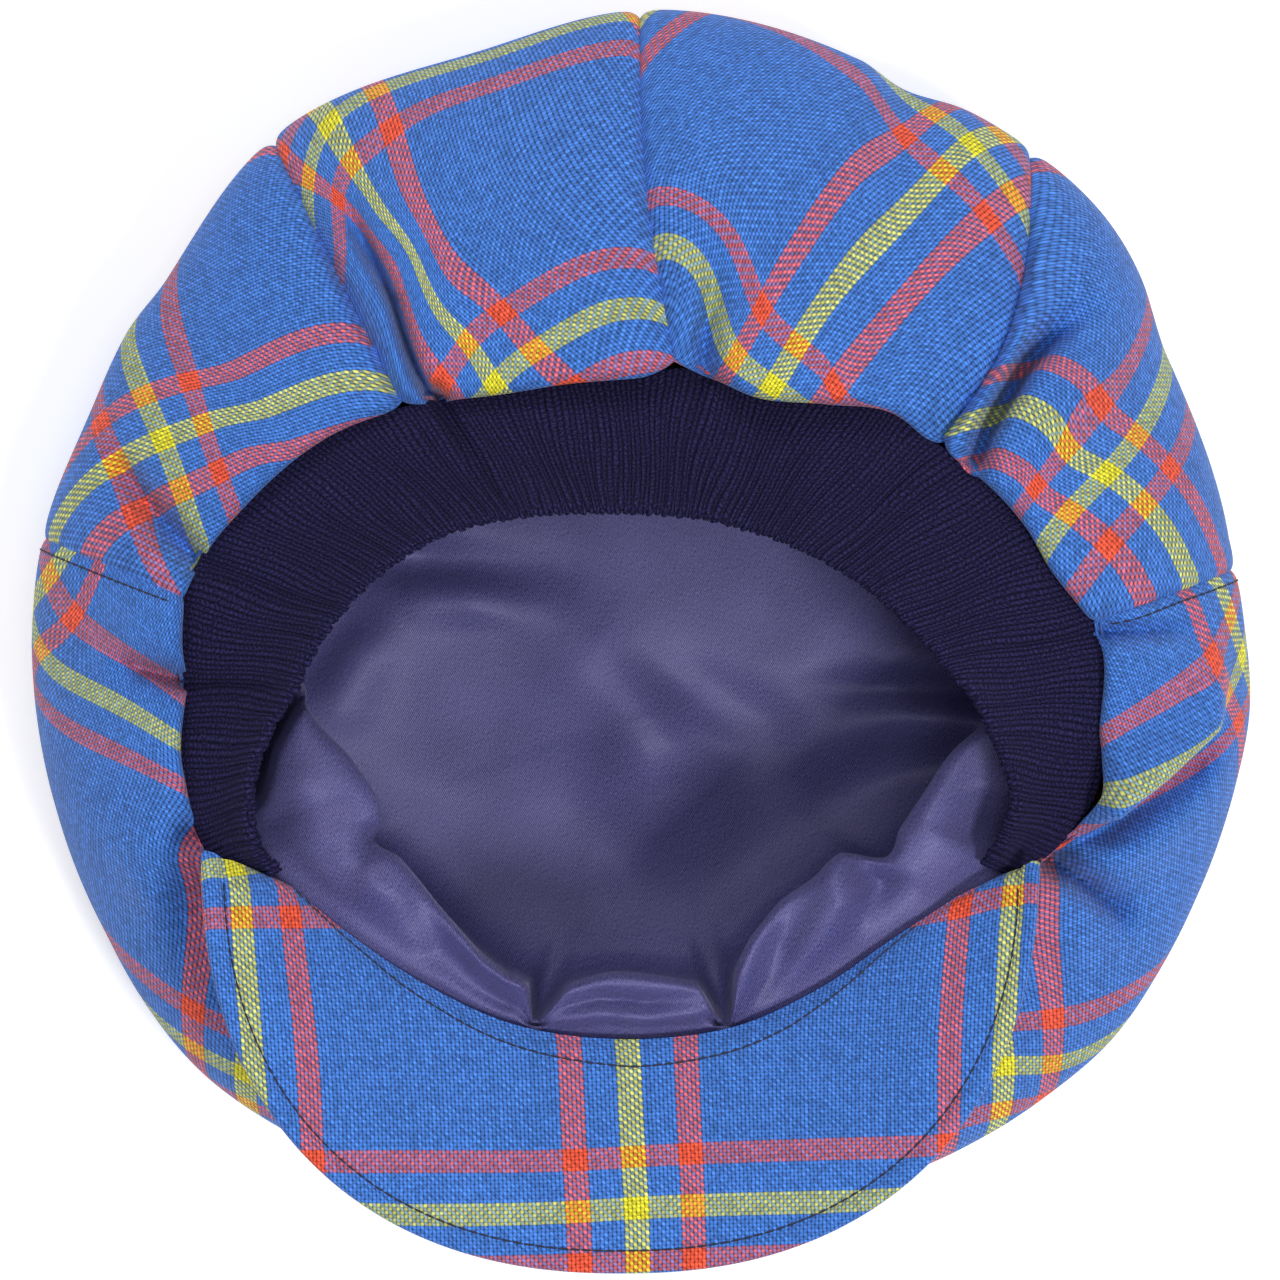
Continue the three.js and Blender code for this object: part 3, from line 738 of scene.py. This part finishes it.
# share of the width up, share of the thickness outwards
band_section = [(0, 0, 1), (1, 0.3, 1), (2, 0.6, 1), (3, 0.85, 1), (4, 0.97, 0.88), (5, 1.0, 0.5),
                (6, 0.97, 0.12), (7, 0.85, 0), (8, 0.6, 0), (9, 0.3, 0), (10, 0, 0)]
band_around = 1800
azimuth = np.linspace(*band_ends, band_around)
edge_points = mouth_point(azimuth, 0, 0)
run = lengths(edge_points[None], 1)[0]
section_row = np.concatenate([np.linspace(0, 3, 16)[:-1], np.linspace(3, 7, 18)[:-1],
                              np.linspace(7, 10, 12)])
azimuth, row = np.meshgrid(azimuth, section_row)
up = curve_through(band_section, 1, row)
out = curve_through(band_section, 2, row)
sink = band_follow * np.minimum(lip_drop(azimuth), deepest_drop)
ruffle = ruffle_depth * np.sin(azimuth * 2.1) * np.sin(azimuth * 0.73 + 1)
reach_in = band_tuck + curve_through(band_edge, 1, azimuth) + ruffle
reach_in = np.maximum(reach_in + curve_through(mouth_wobble, 1, azimuth, 360), least_reach)
rise = curve_through(band_edge, 2, azimuth) + sink
tall = np.hypot(reach_in, rise) * up
lean = np.arctan2(rise, reach_in)
thick = band_thickness * (1 - out)
sag = band_sag * tall.max(axis=0) * np.sin(np.pi * np.clip(up, 0, 1)) * smooth(0.4, 0.6, out)
in_from_seam = (thick + sag) * np.sin(lean) + tall * np.cos(lean)
grid = mouth_point(azimuth, band_tuck - in_from_seam,
                   mouth_level(azimuth) - band_foot - sink + tall * np.sin(lean)
                   - (thick + sag) * np.cos(lean))
across = lengths(grid, 0)
wale = (run + 0.6 * np.sin(0.19 * run + 0.16 * across) + 0.3 * np.sin(0.53 * run)) / rib_pitch
ribs = (0.65 * np.abs(np.sin(np.pi * wale)) ** 0.6
        + 0.35 * np.abs(np.sin(2 * np.pi * wale)) ** 0.6) * 2 * rib_depth
grid = grid + normals_of(grid) * (ribs * smooth(0, 0.2, up))[..., None]
band_map = np.stack([wale, across / course_pitch], axis=-1)


def sleeve_faces(rows, columns):
    """Faces of a sleeve whose columns are rings of points, with its two ends capped."""
    index = np.arange(rows * columns).reshape(rows, columns)
    ring = np.concatenate([index, index[:1]])
    quads = np.stack([ring[:-1, :-1], ring[:-1, 1:], ring[1:, 1:], ring[1:, :-1]], axis=-1)
    half = rows // 2
    caps = []
    for side, order in ((index[:, 0], -1), (index[:, -1], 1)):
        low, high = side[:half], side[::-1][:half]
        caps.append(np.stack([low[:-1], low[1:], high[1:], high[:-1]], axis=-1)[:, ::order])
    return np.concatenate([quads.reshape(-1, 4), *caps])


faces = facing_out(grid.reshape(-1, 3), sleeve_faces(*grid.shape[:2]))

# knit_shadow is a painted shade colour, near black, for the low gaps between the knit's ribs and
# loops.
knit_shadow = (0.001, 0.0008, 0.003, 1)
knit_blue = (0.019, 0.038, 0.130, 1)
knit_plum = (0.064, 0.031, 0.143, 1)
knit, tree, shader = new_material("navy_knit", {
    "Roughness": 0.95, "Specular IOR Level": 0.1, "Sheen Weight": 0.03, "Sheen Roughness": 0.6,
    "Sheen Tint": (0.35, 0.33, 0.7, 1)})
stitches = map_output(tree, "ribs")
stray = noise_value(tree, stitches, 0.8, 2.0)
parts = tree.nodes.new("ShaderNodeSeparateXYZ")
tree.links.new(stitches, parts.inputs[0])
wale = math_node(tree, "FRACT", math_node(
    tree, "ADD", parts.outputs[0], math_node(tree, "MULTIPLY", stray, 0.3)))
leg = math_node(tree, "ABSOLUTE", math_node(tree, "SUBTRACT", wale, 0.5))
legs = math_node(tree, "ABSOLUTE", math_node(
    tree, "SINE", math_node(tree, "MULTIPLY", wale, 2 * math.pi)))
loop = math_node(tree, "FRACT", math_node(
    tree, "ADD", math_node(tree, "MULTIPLY", leg, 1.3), math_node(
        tree, "ADD", parts.outputs[1], math_node(tree, "MULTIPLY", stray, 0.9))))
loop = math_node(tree, "SUBTRACT", 1.0, math_node(tree, "ABSOLUTE", math_node(
    tree, "SUBTRACT", math_node(tree, "MULTIPLY", loop, 2.0), 1.0)))
fuzz = noise_value(tree, stitches, 4.0, 4.0, 0.8)
height = math_node(tree, "MULTIPLY", legs, math_node(
    tree, "ADD", 0.35, math_node(tree, "MULTIPLY", loop, 0.65)))
# Painted shade: the knit goes toward knit_shadow where the ribs and loops are low. It also darkens
# in random patches from the fuzz noise.
tone = math_node(tree, "MULTIPLY", math_node(tree, "ADD", height, 0.1), math_node(
    tree, "SUBTRACT", math_node(tree, "MULTIPLY", fuzz, 6.0), 2.35))
height = math_node(tree, "ADD", height, math_node(tree, "MULTIPLY", fuzz, 0.5))
tint = mix_colours(tree, noise_value(tree, stitches, 1.7, 3.0), knit_blue, knit_plum)
clamped = tree.nodes.new("ShaderNodeClamp")
tree.links.new(tone, clamped.inputs["Value"])
tree.links.new(mix_colours(tree, clamped.outputs[0], knit_shadow, tint),
               shader.inputs["Base Color"])
add_bump(tree, shader, height, strength=0.8, distance=0.0004)
add_piece("knit_band", grid.reshape(-1, 3), faces, knit,
          {"ribs": band_map.reshape(-1, 2)}, ["knit_band"])

# ---------------------------------------------------------------- lining
# A loose satin lining, sewn in round the mouth. It lies slack in the bowl of the crown and
# bunches into a shelf along the front, above the seam of the peak.
lining_thickness = 0.6
lowest_lining = 2.6
twill_pitch = 0.45
lining_columns = 360
lining_gap = 0.6
below_band = 1.6
bowl_height = 66
bowl_fold_strength = 1.3
shelf_fold_strength = 2.1
# azimuth, reach of the shelf's crest as a share of the mouth's radius
lining_crest = [
    (168, 0.78), (175.5, 0.76), (182, 0.705), (188.5, 0.66), (198.5, 0.65), (204, 0.69),
    (206, 0.735), (212, 0.72), (228, 0.785), (242, 0.86), (248, 0.88), (251.5, 0.98),
    (255.5, 0.85), (266, 0.79), (282, 0.84), (285.5, 0.98), (290, 0.83), (296, 0.745),
    (306, 0.68), (316, 0.66), (325, 0.645), (329, 0.73), (336, 0.70), (345, 0.69), (353, 0.705),
    (360.2, 0.775),
]
# step, reach at the back, level at the back, share of the way to the crest, level at the front
lining_section = [
    (0, 1.0, 0.99, 0, 0.985), (1, 1.0, 0.88, 0.35, 1.03), (2, 1.01, 0.76, 0.75, 1.08),
    (3, 1.03, 0.62, 0.95, 1.06), (4, 1.03, 0.46, 1, 0.95), (5, 1.0, 0.31, 0.9, 0.66),
    (6, 0.93, 0.23, 0.8, 0.34), (7, 0.8, 0.19, 0.85, 0.13), (8, 0.6, 0.18, 1.05, 0.05),
    (9, 0.38, 0.18, 1.6, 0.09), (10, 0.16, 0.18, 2.4, 0.17), (11, 0.01, 0.18, 3.3, 0.18),
]
# Folds of the shelf along the front, and of the bowl, as in the underside's table
shelf_folds = [
    (3.2, 2.5, [(-89, -48, -6), (-87.4, -44.5, -15), (-85.2, -34.5, -17), (-81, -27, -17),
                (-77.5, -22, -16)]),
    (2.5, 1.7, [(-58.7, -54, -3), (-62, -60, -1)]),
    (4, 2, [(-63.5, -56, 0.5), (-58.7, -65, 1.5), (-49, -71.5, 0)]),
    (4, 2, [(-48.7, -67, -1), (-43.5, -79, -2.5), (-29.6, -91, -2)]),
    (3, 2, [(-39, -73, 1), (-34, -82, 2), (-24, -88, 1)]),
    (7, 2, [(-74.6, -29, 0), (-74.6, -46, 1.5), (-68, -64, 1)]),
    (4, 2, [(-82, -55, 0), (-70, -70, -1.2), (-48, -85, -1)]),
    (7, 2, [(66.7, -41, 1), (65.6, -53, 2.5), (71, -61.6, 1)]),
    (4, 1.8, [(48.6, -60, -3), (53, -65, -4), (48.6, -71.6, -1)]),
    (5, 2, [(43, -59, 1), (44, -69, 3), (34, -84.5, 1)]),
    (4, 2, [(35, -69.4, -1), (30.7, -79, -2.5), (27.4, -90, -1)]),
    (4, 2, [(26, -74.6, 1), (22.5, -84.5, 1.4), (20, -92, 0.8)]),
    (2.5, 1.6, [(18, -87, -4), (18, -97, -4)]),
    (2.5, 1.6, [(-22.7, -90, -4), (-22.7, -97, -4)]),
    (2.5, 1.8, [(-21, -93, -1), (-9, -90.6, -2.5), (2, -91, -2), (14, -90, -1)]),
    (2.5, 2, [(-21, -96, 1), (-9, -93, 2), (2, -95, 2), (13, -93, 1)]),
    (2.5, 2, [(-6.6, -98, -1.5), (11, -97, -1)]),
]
bowl_folds = [
    (5, 2, [(-69, 7, -2), (-50, 7, -4), (-18, 5, -0.5)]),
    (6, 2, [(-60, -2, 1), (-39, -2, 3.5), (-18, -5, 1)]),
    (7, 2, [(-77, -16, -4), (-68, -7, -4), (-58, -2, -1)]),
    (8, 2, [(-69, -25, 2), (-65, -14, 3), (-55, -6, 1)]),
    (4, 2, [(80, -24, -9), (70, -23, -7), (59, -22, -3), (40, -22, -0.5)]),
    (7, 2, [(79, -31, 4), (59, -31, 3), (37, -36, 1)]),
    (7, 2, [(77, -37, -3), (59, -41, -2), (37, -48, 0)]),
    (9, 2, [(69, -23, 3), (59, -16, 3), (48, -7, 1)]),
    (9, 2, [(-9, -11, -1), (11, -23, -4), (28, -31, -3)]),
    (13, 2, [(-9, -17, 5), (0, -30, 5), (4, -46, 2)]),
    (10, 2, [(-11, -48, -1), (-9, -30, -2), (-14, -11, 0)]),
]
azimuth, row = np.meshgrid(np.linspace(0, 360, lining_columns + 1)[:-1],
                           np.concatenate([np.linspace(0, 5, 66)[:-1], np.linspace(5, 11, 60)]))
front = smooth(-0.22, -0.06, -np.sin(np.radians(azimuth)))
front = mix(front, smooth(-0.4, 0.6, -np.sin(np.radians(azimuth))), smooth(4.6, 6, row))
at_band = 1 - smooth(0.36, 0.6, -np.sin(np.radians(azimuth)))
crest = curve_through(lining_crest, 1, azimuth, 360)
back_reach, back_level, towards, front_level = (
    curve_through(lining_section, column, row) for column in (1, 2, 3, 4))
edge_radius = mouth_radius(azimuth) - lining_gap
shelf = edge_radius - (edge_radius - crest * even_mouth_radius(azimuth)) * towards
radius = mix(edge_radius * back_reach, shelf, front * (1 - smooth(6, 9, row)))
top = seam_level(azimuth) - (band_thickness + below_band) * at_band
top = top - np.minimum(lip_drop(azimuth), deepest_drop) * (1 - smooth(0, 3, row))
level = mix(back_level, front_level, front) * mix(top, bowl_height, smooth(5.5, 9, row))
grid = mouth_point(azimuth, radius - mouth_radius(azimuth), level)
bowl_share = smooth(5.2, 6.8, row)
lift = fold_lift(grid[..., 0], grid[..., 1], bowl_folds) * bowl_share
grid[..., 2] += lift * bowl_fold_strength
shelf_share = smooth(0.3, 1.2, row) * (1 - smooth(3.6, 4.6, row))
lift = fold_lift(grid[..., 0], grid[..., 1], shelf_folds) * shelf_share
grid[..., 2] += lift * shelf_fold_strength
grid[..., 2] = np.maximum(grid[..., 2], lowest_lining)
under = grid - normals_of(grid, closed=True) * lining_thickness
size = grid.shape[0] * grid.shape[1]
points = np.concatenate([grid.reshape(-1, 3), under.reshape(-1, 3)])
faces = shell_faces(*grid.shape[:2], closed=True)
last_ring = np.arange(size - lining_columns, size)
rim = np.stack([last_ring, np.roll(last_ring, -1)], axis=-1)
at_last_rim = (np.isin(faces, last_ring).any(axis=1)
               & np.isin(faces, last_ring + size).any(axis=1))
faces = faces[~at_last_rim]
faces = facing_out(points, faces).tolist()
middle = len(points)
points = np.concatenate(
    [points, [points[last_ring].mean(axis=0), points[last_ring + size].mean(axis=0)]])
for a, b in rim:
    faces.append([int(b), int(a), middle])
    faces.append([int(a + size), int(b + size), middle + 1])

twill = np.stack([points[:, 0] / twill_pitch + points[:, 1] / twill_pitch / 2,
                  points[:, 0] / twill_pitch / 2 - points[:, 1] / twill_pitch], axis=-1)

satin_dark = (0.026, 0.024, 0.082, 1)
satin_light = (0.205, 0.190, 0.475, 1)
satin, tree, shader = new_material("satin_lining", {
    "Roughness": 0.42, "Specular IOR Level": 0.42, "Specular Tint": (0.75, 0.72, 1.0, 1),
    "Sheen Weight": 0.12, "Sheen Roughness": 0.4, "Sheen Tint": (0.7, 0.68, 1.0, 1)})
flat = map_output(tree, "threads")
threads = tree.nodes.new("ShaderNodeTexWave")
threads.wave_type = "BANDS"
threads.bands_direction = "X"
threads.inputs["Scale"].default_value = 0.314
threads.inputs["Distortion"].default_value = 1.2
tree.links.new(flat, threads.inputs["Vector"])
soft = noise_value(tree, flat, 0.02, 2.0)
drawn = tree.nodes.new("ShaderNodeVectorMath")
drawn.operation = "MULTIPLY"
tree.links.new(flat, drawn.inputs[0])
drawn.inputs[1].default_value = (1, 0.35, 1)
fine = noise_value(tree, drawn.outputs[0], 1.7, 2.0)
tone = math_node(tree, "ADD", math_node(tree, "MULTIPLY", soft, 0.35), math_node(
    tree, "ADD", math_node(tree, "MULTIPLY", threads.outputs["Fac"], 0.4),
    math_node(tree, "SUBTRACT", math_node(tree, "MULTIPLY", fine, 1.4), 0.68)))
tree.links.new(mix_colours(tree, tone, satin_dark, satin_light), shader.inputs["Base Color"])
add_bump(tree, shader, threads.outputs["Fac"], strength=0.25, distance=0.00015)
add_piece("lining", points, faces, satin, {"threads": twill}, ["lining"])

# ---------------------------------------------------------------- peak
# A curved board covered in the same tartan, 3.2 mm thick, sewn to the front of the mouth. Its
# cloth is turned round the outer edge.
peak_thickness = 3.2
peak_outer = {"x": -4, "y": -56, "half_width": 90.5, "half_length": 92, "power": 2.25}
peak_corner = 67
peak_edge_middle = 269.2
peak_edge_corner = 87.8
peak_gap = 0.3
peak_clearance = 0.4
tilt_middle = 23
tilt_corner = 36
peak_bow = 0.9
edge_droop = 0.07
peak_columns = 260
edge_inset = 3.2
groove_depth = 0.6
edge_groove_width = 1.3
seam_tuck = 1.1
tuck_share = 0.07


def peak_point(side, out):
    inner_azimuth = 270 + side * peak_corner
    inner = mouth_point(inner_azimuth, peak_gap, seam_level(inner_azimuth) + peak_clearance)
    outer_azimuth = peak_edge_middle + side * peak_edge_corner
    reach = superellipse(peak_outer["half_width"], peak_outer["half_length"],
                         peak_outer["power"], outer_azimuth)
    outer = around(outer_azimuth) * reach[..., None] + [peak_outer["x"], peak_outer["y"]]
    tilt = np.radians(mix(tilt_middle, tilt_corner, smooth(0, 1, np.abs(side))))
    rise = np.hypot(*np.moveaxis(outer - inner[..., :2], -1, 0)) * np.tan(tilt)
    plan = mix(inner[..., :2], outer, out[..., None])
    bowed = np.clip(out, 0, 1) ** peak_bow - edge_droop * smooth(0.6, 1, out)
    level = inner[..., 2] + rise * bowed
    level = level - seam_tuck * (1 - smooth(0, tuck_share, out))
    return np.concatenate([plan, level[..., None]], axis=-1)


share = np.linspace(-1, 1, peak_columns)
share = mix(share, np.sin(share * math.pi / 2), 0.6)
flat_rows = np.linspace(0, 0.975, 60)
edge_turns = np.radians(np.linspace(90, -90, 13))
side, out = np.meshgrid(share, flat_rows)
face = peak_point(side, out)
normal = normals_of(face)
normal = normal * np.sign(normal[..., 2:].mean())
across = lengths(face, 0)
groove = groove_depth * np.exp(-(((across[-1] - across - edge_inset) / edge_groove_width) ** 2))
upper = face + normal * (peak_thickness / 2 - groove)[..., None]
lower = (face - normal * peak_thickness / 2)[::-1]
rim_direction = face[-1] - face[-2]
rim_direction /= np.linalg.norm(rim_direction, axis=-1, keepdims=True)
edge = np.stack([face[-1] + (normal[-1] * math.sin(turn) + rim_direction * math.cos(turn))
                 * peak_thickness / 2 for turn in edge_turns[1:-1]])
grid = np.concatenate([upper, edge, lower]) + np.array([0, 0, peak_thickness / 2])
grid_of_peak = grid
share_of_peak = share
inner_plan = face[0, :, :2]
heading = face[-1, :, :2] - inner_plan
heading /= np.linalg.norm(heading, axis=-1, keepdims=True)
flat = inner_plan[None] + heading[None] * lengths(grid, 0)[..., None]
peak_pins = [
    (-13.5, -124.5, -14, 14), (-88.3, -60.6, -94, 94), (-76.1, -72.1, -80, 80),
    (70.4, -69.9, 80, 80), (81.9, -67, 94, 80), (-0.7, -134.7, 0, 0),
]
on_top = np.zeros(grid.shape[:2], bool)
on_top[: len(flat_rows)] = True
yarns = settle(flat, grid, on_top, peak_pins)
faces = facing_out(grid.reshape(-1, 3), sleeve_faces(*grid.shape[:2]))
add_piece("peak", grid.reshape(-1, 3), faces, tartan, {"yarns": yarns.reshape(-1, 2)},
          ["peak"])

# ---------------------------------------------------------------- topstitches
# Dark navy sewing thread, a stitch every 2.5 mm: beside the two side seams on the front panel,
# along the peak's turned edge, and along its seam to the mouth.
stitch_pitch = 2.5
stitch_length = 2.38
thread_radius = 0.24
thread_sides = 6
thread_rings = 5
stitch_rise = 0.2
stitch_sunk = 0.08
seam_stitch_inset = 2.7
edge_stitch_sides = (-0.96, 0.97)
# side of each column, distance of the stitches in from the mouth's seam
inner_stitches = [(-0.93, 0.3), (-0.6, 4.2), (0, 7.2), (0.39, 5.6), (0.62, 3), (0.8, 0.6)]
thread_dark = (0.004, 0.004, 0.012, 1)
thread_light = (0.03, 0.03, 0.06, 1)


def run_along(line):
    return np.concatenate([[0], np.cumsum(np.linalg.norm(np.diff(line, axis=0), axis=1))])


def sew(line, up):
    """Vertices and faces of the stitches along a line on a surface with normals up."""
    run = run_along(line)

    def on_line(values, at):
        return np.stack([np.interp(at, run, values[:, axis]) for axis in range(3)], axis=-1)

    starts = np.arange(0.3, run[-1] - stitch_length, stitch_pitch)
    share = np.linspace(0, 1, thread_rings)
    at = starts[:, None] + share * stitch_length
    middle, out = on_line(line, at), on_line(up, at)
    out /= np.linalg.norm(out, axis=-1, keepdims=True)
    heading = on_line(line, at + 0.1) - on_line(line, at - 0.1)
    heading /= np.linalg.norm(heading, axis=-1, keepdims=True)
    side = np.cross(heading, out)
    arch = stitch_rise * np.sin(np.pi * share) - stitch_sunk
    radius = thread_radius * np.sqrt(np.sin(np.pi * mix(0.12, 0.88, share)))
    turns = np.linspace(0, 2 * np.pi, thread_sides + 1)[:-1]
    ring = (side[:, :, None] * np.cos(turns)[:, None] + out[:, :, None] * np.sin(turns)[:, None])
    points = (middle + out * arch[:, None])[:, :, None] + ring * radius[:, None, None]
    index = np.arange(points.size // 3).reshape(points.shape[:3])
    turned = np.roll(index, -1, axis=2)
    quads = np.stack([index[:, :-1], turned[:, :-1], turned[:, 1:], index[:, 1:]], axis=-1)
    faces = quads.reshape(-1, 4).tolist() + index[:, 0, ::-1].tolist() + index[:, -1].tolist()
    return points.reshape(-1, 3), faces


def line_on_grid(grid, inset, rows, from_last=False):
    """A line on a grid of points, at an inset in millimetres from its first or last column."""
    columns = grid[:, ::-1] if from_last else grid
    up = normals_of(grid)[:, ::-1] if from_last else normals_of(grid)
    line, normals = [], []
    for row in rows:
        run = run_along(columns[row])
        line.append([np.interp(inset, run, columns[row, :, axis]) for axis in range(3)])
        normals.append([np.interp(inset, run, up[row, :, axis]) for axis in range(3)])
    return np.array(line), np.array(normals)


thread, tree, shader = new_material("dark_thread", {"Roughness": 0.7})
place = tree.nodes.new("ShaderNodeTexCoord")
strands = noise_value(tree, place.outputs["Object"], 3000.0, 2.0)
tree.links.new(mix_colours(tree, strands, thread_dark, thread_light), shader.inputs["Base Color"])

front_grid = crown_grids["front_panel"]
seam_rows = [row for row, along in enumerate(panel_rows) if 1.25 < along < 2 + lip_start]
top_rows = grid_of_peak[: len(flat_rows)]
top_normals = normals_of(top_rows)
top_normals *= np.sign(top_normals[..., 2].mean())
across_peak = lengths(top_rows, 0)


def line_on_peak(distances, first, last):
    """A line on the peak between two sides, with each column's distance from the seam."""
    columns = [at for at, side in enumerate(share_of_peak) if first < side < last]
    line, normals = (
        np.array([[np.interp(distances[at], across_peak[:, at], values[:, at, axis])
                   for axis in range(3)] for at in columns])
        for values in (top_rows, top_normals))
    return line, normals


stitch_sides, stitch_insets = np.array(inner_stitches).T
runs = {
    "left_seam_stitches": line_on_grid(front_grid, seam_stitch_inset, seam_rows),
    "right_seam_stitches": line_on_grid(front_grid, seam_stitch_inset, seam_rows, from_last=True),
    "peak_edge_stitches": line_on_peak(across_peak[-1] - edge_inset, *edge_stitch_sides),
    "peak_seam_stitches": line_on_peak(np.interp(share_of_peak, stitch_sides, stitch_insets),
                                       stitch_sides[0], stitch_sides[-1]),
}
for name, (line, up) in runs.items():
    points, faces = sew(line, up)
    add_piece(name, points, faces, thread, {})
